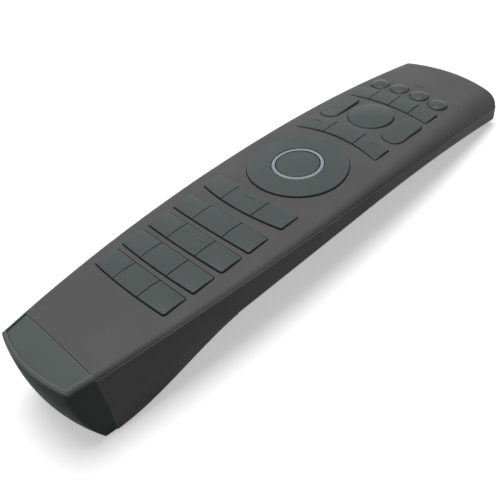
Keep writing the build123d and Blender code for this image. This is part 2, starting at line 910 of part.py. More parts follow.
# Case screws, turned in from below into the top cover's bosses
with BuildPart() as case_screws:
    for x, y in boss_places:
        with BuildSketch(Plane.XZ.offset(-y)):
            with BuildLine():
                Polyline(
                    (x, screw_seat_z - screw_head_height),
                    (x + screw_head_radius, screw_seat_z - screw_head_height),
                    (x + screw_head_radius, screw_seat_z),
                    (x + screw_radius, screw_seat_z),
                    (x + screw_radius, screw_tip_z), (x, screw_tip_z), close=True,
                )
            make_face()
        revolve(axis=Axis((x, y, 0), (0, 0, 1)))
save(case_screws.part, "case_screws")

# Battery tray with its lid
with BuildPart() as battery_tray:
    add(trough(tray_half, tray_bottom, tray_top, tray_front_y, tray_back_y, tray_corner))
    for x in (-cell_spacing / 2, cell_spacing / 2):
        with BuildSketch(Plane.XZ.offset(-(tray_front_y + tray_wall))):
            with Locations((x, cell_z)):
                Circle(cell_radius + seat_fit)
            with Locations((x, cell_z + 10)):
                Rectangle(2 * (cell_radius + seat_fit), 20)
        extrude(amount=-(cell_length + 2 * contact_room), mode=Mode.SUBTRACT)
    add(lid_plate(0, tray_front_y - lid_thickness))
save(battery_tray.part, "battery_tray")

cell_front_y = tray_front_y + tray_wall + contact_room
for side, x, turned in (("left", -cell_spacing / 2, False), ("right", cell_spacing / 2, True)):
    nub_y = cell_front_y if turned else cell_front_y + cell_length
    base_y = cell_front_y + cell_length if turned else cell_front_y
    inward = 1 if turned else -1
    with BuildPart() as cell:
        with BuildSketch(Plane.YZ.offset(x)):
            with BuildLine():
                Polyline(
                    (base_y, cell_z), (base_y, cell_z + cell_radius - 0.4),
                    (base_y - 0.4 * inward, cell_z + cell_radius),
                    (nub_y + (cell_nub_length + 0.4) * inward, cell_z + cell_radius),
                    (nub_y + cell_nub_length * inward, cell_z + cell_radius - 0.4),
                    (nub_y + cell_nub_length * inward, cell_z + cell_nub_radius),
                    (nub_y, cell_z + cell_nub_radius), (nub_y, cell_z), close=True,
                )
            make_face()
        revolve(axis=Axis((x, 0, cell_z), (0, 1, 0)))
    save(cell.part, f"cell_{side}")


def strip(points, x):
    """Contact strip bent along a line in the YZ plane."""
    with BuildPart() as leaf:
        with BuildSketch(Plane.YZ.offset(x - strip_width / 2)):
            with BuildLine() as path:
                Polyline(*points)
            trace(path.line, strip_thickness)
        extrude(amount=strip_width)
    return leaf.part


# Contact strips: bent springs behind the cells' flat ends, shallow bows before their studs
half_strip = strip_thickness / 2 + tiny
bend = contact_room - 2 * half_strip
ends = {"front": (tray_front_y + tray_wall, 1), "back": (tray_back_y - tray_wall, -1)}
for name, sides in (
    ("cell_springs", (("front", -1), ("back", 1))),
    ("cell_plates", (("back", -1), ("front", 1))),
):
    with BuildPart() as contacts:
        for end, side in sides:
            wall_y, into = ends[end]
            start = wall_y + half_strip * into
            x = side * cell_spacing / 2
            if name == "cell_springs":
                points = [
                    (start, cell_z - 4.0), (start, cell_z + 4.0),
                    (start + 0.8 * into, cell_z + 4.4), (start + bend * into, cell_z + 1.0),
                    (start + bend * into, cell_z - 1.0), (start + 1.0 * into, cell_z - 3.4),
                ]
            else:
                points = [
                    (start, cell_z - 4.0), (start, cell_z - 2.8), (start + bend * into, cell_z - 1.0),
                    (start + bend * into, cell_z + 1.0), (start, cell_z + 2.8), (start, cell_z + 4.0),
                ]
            add(strip(points, x))
    save(contacts.part, name)

# Rest pose: both feet on the ground, the origin under the middle of the whole remote
turned = {name: piece.moved(Location((0, 0, 0), (-rest_tilt, 0, 0))) for name, piece in pieces.items()}
covers = [turned[name].bounding_box() for name in ("top_cover", "bottom_cover", "end_cap")]
middle_y = (min(box.min.Y for box in covers) + max(box.max.Y for box in covers)) / 2
ground = foot_z[0] * cos(radians(rest_tilt)) - foot_y[0] * sin(radians(rest_tilt))
os.makedirs("parts", exist_ok=True)
for name, piece in turned.items():
    placed = piece.moved(Location((0, -middle_y, -ground)))
    placed.label = name
    export_step(placed, f"parts/{name}.step")
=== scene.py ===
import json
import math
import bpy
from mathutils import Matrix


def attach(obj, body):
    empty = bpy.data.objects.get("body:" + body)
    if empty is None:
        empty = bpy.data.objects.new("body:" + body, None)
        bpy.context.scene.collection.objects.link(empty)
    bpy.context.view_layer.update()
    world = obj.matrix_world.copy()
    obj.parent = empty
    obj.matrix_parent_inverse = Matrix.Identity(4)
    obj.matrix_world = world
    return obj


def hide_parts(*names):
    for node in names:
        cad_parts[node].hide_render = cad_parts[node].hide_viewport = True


bl_info = {
    "name": "Projector Remote Control",
    "version": (1, 0, 0),
    "blender": (4, 5, 0),
    "location": "3D View > Sidebar > Remote",
    "description": "Finishes the packed remote control's pieces and sets up its studio",
    "category": "Object",
}

import bmesh
import bpy
from bpy.props import FloatProperty, FloatVectorProperty, PointerProperty
from bpy.types import Operator, Panel, PropertyGroup
from mathutils import Matrix, Vector
from mathutils.bvhtree import BVHTree

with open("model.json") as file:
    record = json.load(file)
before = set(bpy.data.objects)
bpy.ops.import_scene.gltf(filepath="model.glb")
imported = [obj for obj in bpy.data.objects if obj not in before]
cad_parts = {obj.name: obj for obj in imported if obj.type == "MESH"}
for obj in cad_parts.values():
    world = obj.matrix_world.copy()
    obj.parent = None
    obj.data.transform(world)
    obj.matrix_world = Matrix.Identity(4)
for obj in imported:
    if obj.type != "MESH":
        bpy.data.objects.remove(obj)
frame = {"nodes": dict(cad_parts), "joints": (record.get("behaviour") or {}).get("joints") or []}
NODES = frame["nodes"]
JOINTS = {joint["name"]: joint for joint in frame["joints"]}
MM = 0.001
DISC_PIVOT_DEPTH = 3 * MM


def deck_matrix():
    """Placement of the key deck: origin on the surface at the disc's centre, Y to the infrared end."""
    up = -Vector(JOINTS["select_key_press"]["axis"]).normalized()
    across = Vector((1, 0, 0))
    along = up.cross(across)
    pivot = Vector(JOINTS["disc_tilt_along"]["pos_m"])
    turn = Matrix((across, along, up)).transposed().to_4x4()
    return Matrix.Translation(pivot + up * DISC_PIVOT_DEPTH) @ turn


DECK = deck_matrix()


def linear(code):
    """sRGB hex colour as linear red, green and blue."""
    values = [int(code[i:i + 2], 16) / 255 for i in (1, 3, 5)]
    return [v / 12.92 if v <= 0.04045 else ((v + 0.055) / 1.055) ** 2.4 for v in values]


# Sizes, colours and light


class RemoteFinish(PropertyGroup):
    cover: FloatVectorProperty(
        name="Cover", description="Colour of the moulded covers",
        subtype="COLOR", default=linear("#5f5f5f"), min=0, max=1,
    )
    keys: FloatVectorProperty(
        name="Keys", description="Colour of the keys and the navigation disc",
        subtype="COLOR", default=linear("#505856"), min=0, max=1,
    )
    cap: FloatVectorProperty(
        name="End cap", description="Colour of the end cap",
        subtype="COLOR", default=linear("#656d6a"), min=0, max=1,
    )
    glow: FloatVectorProperty(
        name="Light guide", description="Colour of the ring around the select key",
        subtype="COLOR", default=linear("#97a3ad"), min=0, max=1,
    )
    grain: FloatProperty(
        name="Grain", description="Spacing of the moulded texture's grains",
        subtype="DISTANCE", unit="LENGTH", default=0.5 * MM, min=0.05 * MM, max=3 * MM,
    )


class RemoteMarks(PropertyGroup):
    width: FloatProperty(
        name="Rib width", description="Width of a raised finger mark on a key",
        subtype="DISTANCE", unit="LENGTH", default=0.55 * MM, min=0.2 * MM, max=2 * MM,
    )
    height: FloatProperty(
        name="Rib height", description="Height of a raised finger mark above its key",
        subtype="DISTANCE", unit="LENGTH", default=0.22 * MM, min=0.05 * MM, max=0.6 * MM,
    )


class RemoteFasteners(PropertyGroup):
    head: FloatProperty(
        name="Screw head", description="Radius of a case screw's head",
        subtype="DISTANCE", unit="LENGTH", default=2.0 * MM, min=1.5 * MM, max=2.0 * MM,
    )
    pitch: FloatProperty(
        name="Thread pitch", description="Distance from one turn of a case screw's thread to the next",
        subtype="DISTANCE", unit="LENGTH", default=0.8 * MM, min=0.4 * MM, max=1.5 * MM,
    )
    recess: FloatProperty(
        name="Recess", description="Length of the cross recess in a case screw's head",
        subtype="DISTANCE", unit="LENGTH", default=2.3 * MM, min=1.0 * MM, max=3.0 * MM,
    )


class RemoteCells(PropertyGroup):
    sleeve: FloatVectorProperty(
        name="Sleeve", description="Main colour of the cells' printed sleeve",
        subtype="COLOR", default=linear("#27343f"), min=0, max=1,
    )
    band: FloatVectorProperty(
        name="Band", description="Colour of the band round the stud's end of the sleeve",
        subtype="COLOR", default=linear("#a9adb0"), min=0, max=1,
    )
    band_share: FloatProperty(
        name="Band share", description="Share of the cell's length that the band takes",
        subtype="FACTOR", default=0.24, min=0.0, max=1.0,
    )


class RemoteStudio(PropertyGroup):
    azimuth: FloatProperty(
        name="Azimuth", description="Camera's turn from the cap end towards the right side",
        subtype="ANGLE", default=math.radians(50.49), min=-math.pi, max=math.pi,
    )
    elevation: FloatProperty(
        name="Elevation", description="Camera's height above the key deck",
        subtype="ANGLE", default=math.radians(41.95), min=0, max=math.pi / 2,
    )
    roll: FloatProperty(
        name="Roll", description="Camera's roll about its line of sight",
        subtype="ANGLE", default=math.radians(-7.51), min=-math.pi, max=math.pi,
    )
    eye: FloatVectorProperty(
        name="Eye", description="Camera's place over the key deck",
        subtype="TRANSLATION", unit="LENGTH", default=(0.15627, -0.15834, 0.15795),
    )
    lens: FloatProperty(
        name="Lens", description="Focal length for a sensor 36 mm wide, in millimetres",
        default=50.0, min=20, max=200,
    )
    overhead: FloatProperty(
        name="Overhead lamp", description="Power of the soft lamp above the remote, in watts",
        default=5.35, min=0, max=200,
    )
    softbox: FloatProperty(
        name="Softbox", description="Side of the square lamp above the remote",
        subtype="DISTANCE", unit="LENGTH", default=0.5, min=0.05, max=3,
    )
    sky: FloatProperty(
        name="Sky", description="Strength of the even light from all round",
        default=0.15, min=0, max=2,
    )


# Materials


# Nearly all values of a noise lie between these two
NOISE_LOW, NOISE_HIGH = 0.3, 0.7


def put(tree, kind, links=None, **settings):
    """Add a node, set its sockets and settings, and link sockets given as (node, output)."""
    made = tree.nodes.new(kind)
    for key, value in settings.items():
        setattr(made, key, value)
    for key, value in (links or {}).items():
        socket = made.inputs[key]
        if isinstance(value, tuple) and isinstance(value[0], bpy.types.Node):
            tree.links.new(value[0].outputs[value[1]], socket)
        else:
            socket.default_value = value
    return made


def new_material(name):
    """Material without nodes, and its node tree."""
    made = bpy.data.materials.new(name)
    made.use_nodes = True
    made.node_tree.nodes.clear()
    return made, made.node_tree


def rgba(colour, scale=1.0):
    """Opaque colour for a socket, brightened or darkened by the scale."""
    return (*[min(c * scale, 1.0) for c in colour], 1.0)


def drifting_tone(tree, place, colour, spot, detail, roughness, scales, span=(NOISE_LOW, NOISE_HIGH)):
    """Noise with spots of the given size, and the tone that follows it: the colour times the first
    scale where the noise is low, and times the second where it is high."""
    drift = put(tree, "ShaderNodeTexNoise", {
        "Vector": (place, "Object"), "Scale": 1 / spot, "Detail": detail, "Roughness": roughness,
    })
    tone = put(tree, "ShaderNodeValToRGB", {"Fac": (drift, "Fac")})
    for stop, value, scale in zip(tone.color_ramp.elements, span, scales):
        stop.position = value
        stop.color = rgba(colour, scale)
    return drift, tone


def edge_wear_and_painted_light(tree, tone, reach, lift):
    """Tone with painted light: paler by the lift along convex edges, a painted highlight with some edge
    wear in it, and darker in creases, a painted shade. The reach is how far from an edge that shows."""
    edge = put(
        tree, "ShaderNodeAmbientOcclusion", {"Distance": reach}, samples=8, inside=True, only_local=True,
    )
    crease = put(tree, "ShaderNodeAmbientOcclusion", {"Distance": reach}, samples=8, only_local=True)
    # Painted highlight along convex edges, partly edge wear: the tone is lifted where the inner occlusion
    # meets an edge
    rubbed_sheen = put(tree, "ShaderNodeMapRange", {
        "Value": (edge, "AO"), "From Min": 0.4, "From Max": 0.95, "To Min": 1.0 + lift, "To Max": 1.0,
    })
    # Painted shade: the tone is darkened in creases, where occlusion finds nearby faces
    painted_crease_shade = put(tree, "ShaderNodeMapRange", {
        "Value": (crease, "AO"), "From Min": 0.4, "From Max": 0.9, "To Min": 0.55, "To Max": 1.0,
    })
    both = put(tree, "ShaderNodeMath", {
        0: (rubbed_sheen, "Result"), 1: (painted_crease_shade, "Result"),
    }, operation="MULTIPLY")
    return put(tree, "ShaderNodeVectorMath", {
        0: (tone, "Color"), "Scale": (both, "Value"),
    }, operation="SCALE")


def textured_abs(name, colour, grain, roughness, depth, specular, lift):
    """Injection-moulded ABS from a spark-eroded tool: matte, with a fine even grain that breaks up
    its sheen, and a faint drift of tone and gloss where hands have polished it. The real grain is
    about 0.1 mm and too fine to show, so it is drawn coarser."""
    made, tree = new_material(name)
    place = put(tree, "ShaderNodeTexCoord")
    fine = put(tree, "ShaderNodeTexNoise", {
        "Vector": (place, "Object"), "Scale": 1 / grain, "Detail": 3.0, "Roughness": 0.6,
    })
    broad, tone = drifting_tone(
        tree, place, colour, spot=26.3 * MM, detail=4.0, roughness=0.55, scales=(0.955, 1.045),
    )
    gloss = put(tree, "ShaderNodeMapRange", {
        "Value": (broad, "Fac"), "From Min": NOISE_LOW, "From Max": NOISE_HIGH,
        "To Min": roughness + 0.05, "To Max": roughness - 0.05,
    })
    bump = put(tree, "ShaderNodeBump", {
        "Height": (fine, "Fac"), "Strength": 0.35, "Distance": depth,
    })
    # Painted highlight along convex edges, with some wear, and painted shade in creases
    worn_and_painted_tone = edge_wear_and_painted_light(tree, tone, reach=0.9 * MM, lift=lift)
    shade = put(tree, "ShaderNodeBsdfPrincipled", {
        "Base Color": (worn_and_painted_tone, "Vector"), "Roughness": (gloss, "Result"), "Normal": (bump, "Normal"),
        "IOR": 1.53, "Specular IOR Level": specular,
    })
    put(tree, "ShaderNodeOutputMaterial", {"Surface": (shade, "BSDF")})
    return made


def satin_keycap(name, colour, grain):
    """Moulded keys with a soft-touch lacquer: smoother than the covers, with a broad soft sheen
    that thumbs have evened out on top. The lacquer's orange peel is too fine to show as well, and
    is drawn coarser."""
    made, tree = new_material(name)
    place = put(tree, "ShaderNodeTexCoord")
    fine = put(tree, "ShaderNodeTexNoise", {
        "Vector": (place, "Object"), "Scale": 0.8 / grain, "Detail": 2.0, "Roughness": 0.5,
    })
    rubbed_sheen, tone = drifting_tone(
        tree, place, colour, spot=9.1 * MM, detail=3.0, roughness=0.5, scales=(0.95, 1.05),
        span=(0.32, 0.68),
    )
    gloss = put(tree, "ShaderNodeMapRange", {
        "Value": (rubbed_sheen, "Fac"), "From Min": NOISE_LOW, "From Max": NOISE_HIGH,
        "To Min": 0.42, "To Max": 0.34,
    })
    bump = put(tree, "ShaderNodeBump", {
        "Height": (fine, "Fac"), "Strength": 0.2, "Distance": 0.02 * MM,
    })
    # The keys' edges get a painted highlight, with some wear, and their creases get painted shade
    worn_and_painted_tone = edge_wear_and_painted_light(tree, tone, reach=0.7 * MM, lift=0.3)
    shade = put(tree, "ShaderNodeBsdfPrincipled", {
        "Base Color": (worn_and_painted_tone, "Vector"), "Roughness": (gloss, "Result"), "Normal": (bump, "Normal"),
        "IOR": 1.5, "Specular IOR Level": 0.2,
    })
    put(tree, "ShaderNodeOutputMaterial", {"Surface": (shade, "BSDF")})
    return made


def milky_acrylic(name, colour):
    """Opal acrylic light guide: light sinks in a little, and its top is polished."""
    made, tree = new_material(name)
    place = put(tree, "ShaderNodeTexCoord")
    _, tone = drifting_tone(
        tree, place, colour, spot=3.85 * MM, detail=3.0, roughness=0.5, scales=(0.9, 1.08), span=(0, 1),
    )
    shade = put(tree, "ShaderNodeBsdfPrincipled", {
        "Base Color": (tone, "Color"), "Roughness": 0.22, "IOR": 1.49,
        "Subsurface Weight": 0.25, "Subsurface Radius": (2 * MM, 2 * MM, 2.5 * MM),
        "Coat Weight": 0.3, "Coat Roughness": 0.1,
    })
    put(tree, "ShaderNodeOutputMaterial", {"Surface": (shade, "BSDF")})
    return made


def plain_surface(name, colour, roughness, metallic=0.0, ior=1.5):
    """Even finish of a small piece: one tone with a slow drift, and roughness that follows it. The
    caller says what the real material is."""
    made, tree = new_material(name)
    place = put(tree, "ShaderNodeTexCoord")
    drift, tone = drifting_tone(
        tree, place, colour, spot=8.33 * MM, detail=4.0, roughness=0.6, scales=(0.94, 1.06),
    )
    gloss = put(tree, "ShaderNodeMapRange", {
        "Value": (drift, "Fac"), "From Min": NOISE_LOW, "From Max": NOISE_HIGH,
        "To Min": max(roughness - 0.05, 0.03), "To Max": roughness + 0.05,
    })
    shade = put(tree, "ShaderNodeBsdfPrincipled", {
        "Base Color": (tone, "Color"), "Roughness": (gloss, "Result"),
        "Metallic": metallic, "IOR": ior,
    })
    put(tree, "ShaderNodeOutputMaterial", {"Surface": (shade, "BSDF")})
    return made


def printed_sleeve(name, colour, band, start, along, length, share):
    """Heat-shrunk PVC sleeve printed in two tones: the band lies round the stud's end, and the
    gloss is a little uneven where the film has shrunk."""
    made, tree = new_material(name)
    place = put(tree, "ShaderNodeTexCoord")
    reach = put(tree, "ShaderNodeVectorMath", {0: (place, "Object"), 1: along}, operation="DOT_PRODUCT")
    edge = start.dot(along) + length * (1 - share)
    past = put(tree, "ShaderNodeMath", {0: (reach, "Value"), 1: edge}, operation="GREATER_THAN")
    film = put(tree, "ShaderNodeTexNoise", {
        "Vector": (place, "Object"), "Scale": 1 / (2.38 * MM), "Detail": 3.0, "Roughness": 0.5,
    })
    tone = put(tree, "ShaderNodeMix", {
        "Factor": (past, "Value"), 6: rgba(colour), 7: rgba(band),
    }, data_type="RGBA")
    gloss = put(tree, "ShaderNodeMapRange", {"Value": (film, "Fac"), "To Min": 0.22, "To Max": 0.36})
    bump = put(tree, "ShaderNodeBump", {
        "Height": (film, "Fac"), "Strength": 0.15, "Distance": 0.02 * MM,
    })
    shade = put(tree, "ShaderNodeBsdfPrincipled", {
        "Base Color": (tone, 2), "Roughness": (gloss, "Result"), "Normal": (bump, "Normal"), "IOR": 1.53,
    })
    put(tree, "ShaderNodeOutputMaterial", {"Surface": (shade, "BSDF")})
    return made


def paint(names, material):
    """Give CAD nodes one material in place of their own."""
    for name in names:
        mesh = NODES[name].data
        mesh.materials.clear()
        mesh.materials.append(material)


# Shape helpers


def stand(name, data):
    """Object of a mesh, a lamp or a camera, in the scene."""
    made = bpy.data.objects.new(name, data)
    bpy.context.scene.collection.objects.link(made)
    return made


def mesh_of(name, shape):
    """Mesh of a bmesh, with its faces turned outwards. The bmesh is freed."""
    mesh = bpy.data.meshes.new(name)
    bmesh.ops.recalc_face_normals(shape, faces=shape.faces)
    shape.to_mesh(mesh)
    shape.free()
    return mesh


def piece_from(shape, name, body, slot, *materials):
    """Object of a bmesh, riding on a body; the mesh already lies where the piece does."""
    mesh = mesh_of(name, shape)
    for material in materials:
        mesh.materials.append(material)
    made = stand(name, mesh)
    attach(made, body)
    return made


def lathe(profile, steps):
    """Closed turned shape about Z from a profile of radius and height, in millimetres."""
    shape = bmesh.new()
    verts = [shape.verts.new((radius * MM, 0, height * MM)) for radius, height in profile]
    edges = [shape.edges.new(pair) for pair in zip(verts, verts[1:])]
    bmesh.ops.spin(
        shape, geom=verts + edges, cent=(0, 0, 0), axis=(0, 0, 1), dvec=(0, 0, 0),
        angle=math.tau, steps=steps, use_merge=True,
    )
    bmesh.ops.remove_doubles(shape, verts=shape.verts, dist=0.001 * MM)
    return shape


def deck_places(node):
    """A node's vertices, measured along the key deck."""
    back = DECK.inverted()
    return [back @ vert.co for vert in NODES[node].data.vertices]


def box_of(places):
    """Lowest and highest corners of the box round some places."""
    low, high = (Vector([pick(place[i] for place in places) for i in range(3)]) for pick in (min, max))
    return low, high


def smooth(piece, angle):
    """Smooth shading with sharp edges kept where two faces turn by more than the angle."""
    mesh = piece.data
    shape = bmesh.new()
    shape.from_mesh(mesh)
    for face in shape.faces:
        face.smooth = True
    for edge in shape.edges:
        edge.smooth = edge.is_manifold and edge.calc_face_angle(0) < angle
    shape.to_mesh(mesh)
    shape.free()


# Pieces


class RemoteOperator:
    bl_options = {"REGISTER", "UNDO"}


class REMOTE_OT_covers(RemoteOperator, Operator):
    """Give the two covers and the end cap their moulded finish"""

    bl_idname = "remote.covers"
    bl_label = "Covers and End Cap"

    def execute(self, context):
        finish = context.scene.remote_finish
        # The lift sets how strong the painted highlight along convex edges is; the end cap gets the
        # strongest one, and creases get painted shade
        paint(
            ["top_cover", "bottom_cover"],
            textured_abs(
                "spark_textured_ABS_covers", finish.cover, finish.grain,
                roughness=0.55, depth=0.05 * MM, specular=0.12, lift=0.1,
            ),
        )
        paint(
            ["end_cap"],
            textured_abs(
                "satin_ABS_end_cap", finish.cap, finish.grain * 0.8,
                roughness=0.5, depth=0.03 * MM, specular=0.01, lift=0.45,
            ),
        )
        return {"FINISHED"}


class REMOTE_OT_keys(RemoteOperator, Operator):
    """Give the keys and the navigation disc their soft lacquer"""

    bl_idname = "remote.keys"
    bl_label = "Keys"

    def execute(self, context):
        finish = context.scene.remote_finish
        keys = [n for n in NODES if n.startswith(("key_row", "round_key", "rocker_"))]
        keys += ["centre_key", "select_key", "nav_disc"]
        paint(keys, satin_keycap("lacquered_keycap_plastic", finish.keys, finish.grain))
        return {"FINISHED"}


class REMOTE_OT_finger_marks(RemoteOperator, Operator):
    """Raise the ribs that a thumb feels for, on four of the keys"""

    bl_idname = "remote.finger_marks"
    bl_label = "Finger Marks"

    # Middle across and along the deck, length and bow of each rib, in millimetres
    RIBS = {
        "key_row3_middle": ((-4.8, -54.0, 2.6, 0.0), (3.4, -54.0, 2.6, 0.0)),
        "key_row5_middle": ((0.0, -26.4, 6.0, 0.5),),
        "key_row6_left": ((-15.6, 29.4, 3.6, -0.15),),
        "key_row6_right": ((14.4, 29.6, 3.6, -0.15),),
    }
    # Cuts that let a rib bend, and roundings as shares of its width and height
    SLICES, END_ROUNDING, TOP_ROUNDING = 8, 0.45, 0.7
    ABOVE_KEYS = 10 * MM

    def execute(self, context):
        marks = context.scene.remote_marks
        lacquer = bpy.data.materials["lacquered_keycap_plastic"]
        for key, ribs in self.RIBS.items():
            for number, rib in enumerate(ribs):
                shape = self.rib(key, rib, marks.width, marks.height)
                made = piece_from(shape, f"{key}_rib_{number + 1}", key, "key_grey_green", lacquer)
                smooth(made, math.radians(50))
        return {"FINISHED"}

    def rib(self, key, rib, width, height):
        """Round-ended rib along X, sliced so that it bends with the key's crowned top, and half
        sunk in it."""
        x, y, length, bow = [value * MM for value in rib]
        shape = bmesh.new()
        bmesh.ops.create_cube(shape, size=1)
        bmesh.ops.scale(shape, vec=(length, width, 2 * height), verts=shape.verts)
        upright = [
            edge for edge in shape.edges
            if abs(edge.verts[0].co.z - edge.verts[1].co.z) > height
        ]
        bmesh.ops.bevel(
            shape, geom=upright, offset=width * self.END_ROUNDING, segments=4, profile=0.5,
            affect="EDGES", material=-1,
        )
        brim = [edge for edge in shape.edges if all(vert.co.z > height * 0.9 for vert in edge.verts)]
        bmesh.ops.bevel(
            shape, geom=brim, offset=height * self.TOP_ROUNDING, segments=3, profile=0.5,
            affect="EDGES", material=-1,
        )
        for cut in range(1, self.SLICES):
            bmesh.ops.bisect_plane(
                shape, geom=shape.verts[:] + shape.edges[:] + shape.faces[:],
                plane_co=((cut / self.SLICES - 0.5) * length, 0, 0), plane_no=(1, 0, 0),
            )
        crown = bmesh.new()
        crown.from_mesh(NODES[key].data)
        key_top = BVHTree.FromBMesh(crown)
        crown.free()
        down = DECK.to_3x3() @ Vector((0, 0, -1))
        for vert in shape.verts:
            bent = bow * (2 * vert.co.x / length) ** 2
            above = DECK @ Vector((x + vert.co.x, y + vert.co.y + bent, self.ABOVE_KEYS))
            vert.co = key_top.ray_cast(above, down)[0] - down * vert.co.z
        return shape


class REMOTE_OT_light_guides(RemoteOperator, Operator):
    """Give the light ring its opal acrylic, and the indicator its smoked one"""

    bl_idname = "remote.light_guides"
    bl_label = "Light Guides"

    def execute(self, context):
        finish = context.scene.remote_finish
        paint(["light_ring"], milky_acrylic("opal_acrylic_light_guide", finish.glow))
        # Polished acrylic with a smoke tint: near black and glossy
        paint(
            ["indicator_lens"],
            plain_surface("smoked_acrylic_indicator", linear("#1d2020"), roughness=0.15, ior=1.49),
        )
        return {"FINISHED"}


class REMOTE_OT_inner_pieces(RemoteOperator, Operator):
    """Finish the board, the mat, the infrared pieces, the battery tray and its contacts"""

    bl_idname = "remote.inner_pieces"
    bl_label = "Inner Pieces"

    # Nodes, material, colour, roughness and metallic share, each after what it gives the eye
    FINISHES = (
        # Cured lacquer over glass-fibre laminate: deep green, half gloss
        (["circuit_board"], "solder_resist_on_FR4", "#1f5a35", 0.32, 0.0),
        # Transfer-moulded epoxy: near black and dull
        (["board_chips"], "epoxy_moulded_chips", "#1c1c1e", 0.55, 0.0),
        # Compression-moulded silicone: pale grey, soft and matte
        (["keypad_mat"], "silicone_rubber_mat", "#8d9192", 0.6, 0.0),
        # Polished cast acrylic that only infrared light passes: black with a red cast
        (["ir_window"], "dark_infrared_acrylic", "#1a0d10", 0.08, 0.0),
        # Cast epoxy domes: blue grey and glossy
        (["ir_emitters"], "tinted_emitter_epoxy", "#4b5670", 0.12, 0.0),
        # Injection-moulded ABS: black with a low sheen
        (["battery_tray"], "black_ABS_tray", "#2c2d2e", 0.5, 0.0),
        # Stamped and plated strip: warm grey metal with a soft mirror
        (["cell_springs", "cell_plates"], "nickel_plated_spring_steel", "#c4c1ba", 0.25, 1.0),
    )

    def execute(self, context):
        for nodes, name, colour, roughness, metallic in self.FINISHES:
            paint(nodes, plain_surface(name, linear(colour), roughness, metallic))
        return {"FINISHED"}


class REMOTE_OT_screws(RemoteOperator, Operator):
    """Turn the four case screws, with their thread and their cross recess"""

    bl_idname = "remote.screws"
    bl_label = "Case Screws"

    # Height of the head, plain neck under it and point, in millimetres
    HEAD_HEIGHT, NECK, POINT = 1.5, 0.4, 1.0
    # Radii of the shaft under the thread, before it is rolled, and over the thread
    CORE, BLANK, CREST = 0.82, 1.0, 1.08
    ROWS_FOR_A_TURN = 4
    # Width and height of a recess bar, and how far its middle lies above the head's low face
    BAR_WIDTH, BAR_HEIGHT, BAR_RAISED = 0.5, 1.6, 0.2
    # Shares of a recess bar's length and width that are left at its bottom
    BAR_TAPER = (0.55, 0.7)

    def execute(self, context):
        # Rolled steel with a bright zinc coat: pale grey metal with a soft sheen
        zinc = plain_surface("zinc_plated_steel", linear("#b9bbbd"), roughness=0.3, metallic=1.0)
        boxes = self.boxes()
        low, tip = (corner.z / MM for corner in boxes[0])
        screw = self.screw(context.scene.remote_fasteners, low, tip)
        joined = bmesh.new()
        for corner, opposite in boxes:
            middle = (corner + opposite) / 2
            copy = screw.copy()
            copy.transform(DECK @ Matrix.Translation((middle.x, middle.y, 0)))
            joined.from_mesh(copy)
            bpy.data.meshes.remove(copy)
        made = piece_from(joined, "case_screws_turned", "housing", "screw_steel", zinc)
        smooth(made, math.radians(35))
        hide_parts("case_screws")
        return {"FINISHED"}

    def boxes(self):
        """Box of each screw along the key deck; the quarter that a place lies in tells its screw."""
        places = deck_places("case_screws")
        low, high = box_of(places)
        middle = (low + high) / 2
        quarters = {}
        for place in places:
            quarters.setdefault((place.x > middle.x, place.y > middle.y), []).append(place)
        return [box_of(quarter) for quarter in quarters.values()]

    def screw(self, sizes, low, tip):
        """Pan-head screw for plastic, head down, with its axis on Z, from the low face of its head
        to its tip."""
        head = sizes.head / MM
        seat = low + self.HEAD_HEIGHT
        step = sizes.pitch / MM / self.ROWS_FOR_A_TURN
        rows = int((tip - seat - self.NECK - self.POINT) / step) + 1
        shaft = [(self.BLANK, seat + self.NECK + step * row) for row in range(rows)]
        shape = lathe([
            (0, low), (head * 0.72, low), (head * 0.9, low + 0.16), (head, low + 0.5),
            (head, seat), (self.CORE, seat), *shaft, (self.CORE * 0.5, tip - 0.1), (0, tip),
        ], 24)
        for vert in shape.verts:
            radius, height = math.hypot(vert.co.x, vert.co.y), vert.co.z
            if abs(radius - self.BLANK * MM) < 0.01 * MM:
                turn = math.atan2(vert.co.y, vert.co.x) / math.tau
                wave = abs(((height / sizes.pitch - turn) % 1.0) - 0.5) * 2
                grown = (self.CORE + (self.CREST - self.CORE) * wave) * MM
                vert.co.xy *= grown / radius
        blank = stand("screw_blank", mesh_of("screw_blank", shape))
        cutters = [self.recess(low, turn, sizes.recess) for turn in (0, math.pi / 2)]
        for cutter in cutters:
            cut = blank.modifiers.new("recess", "BOOLEAN")
            cut.object = cutter
            cut.solver = "EXACT"
        bpy.context.view_layer.update()
        cut_out = blank.evaluated_get(bpy.context.evaluated_depsgraph_get())
        done = bpy.data.meshes.new_from_object(cut_out)
        for gone in (blank, *cutters):
            bpy.data.objects.remove(gone)
        return done

    def recess(self, low, turn, length):
        """One bar of the cross recess in the head's low face, narrowing towards its bottom."""
        shape = bmesh.new()
        bmesh.ops.create_cube(shape, size=1)
        size = (length, self.BAR_WIDTH * MM, self.BAR_HEIGHT * MM)
        bmesh.ops.scale(shape, vec=size, verts=shape.verts)
        for vert in shape.verts:
            if vert.co.z > 0:
                vert.co.x *= self.BAR_TAPER[0]
                vert.co.y *= self.BAR_TAPER[1]
        bmesh.ops.rotate(shape, verts=shape.verts, cent=(0, 0, 0), matrix=Matrix.Rotation(turn, 3, "Z"))
        bmesh.ops.translate(shape, verts=shape.verts, vec=(0, 0, (low + self.BAR_RAISED) * MM))
        return stand("recess_bar", mesh_of("recess_bar", shape))


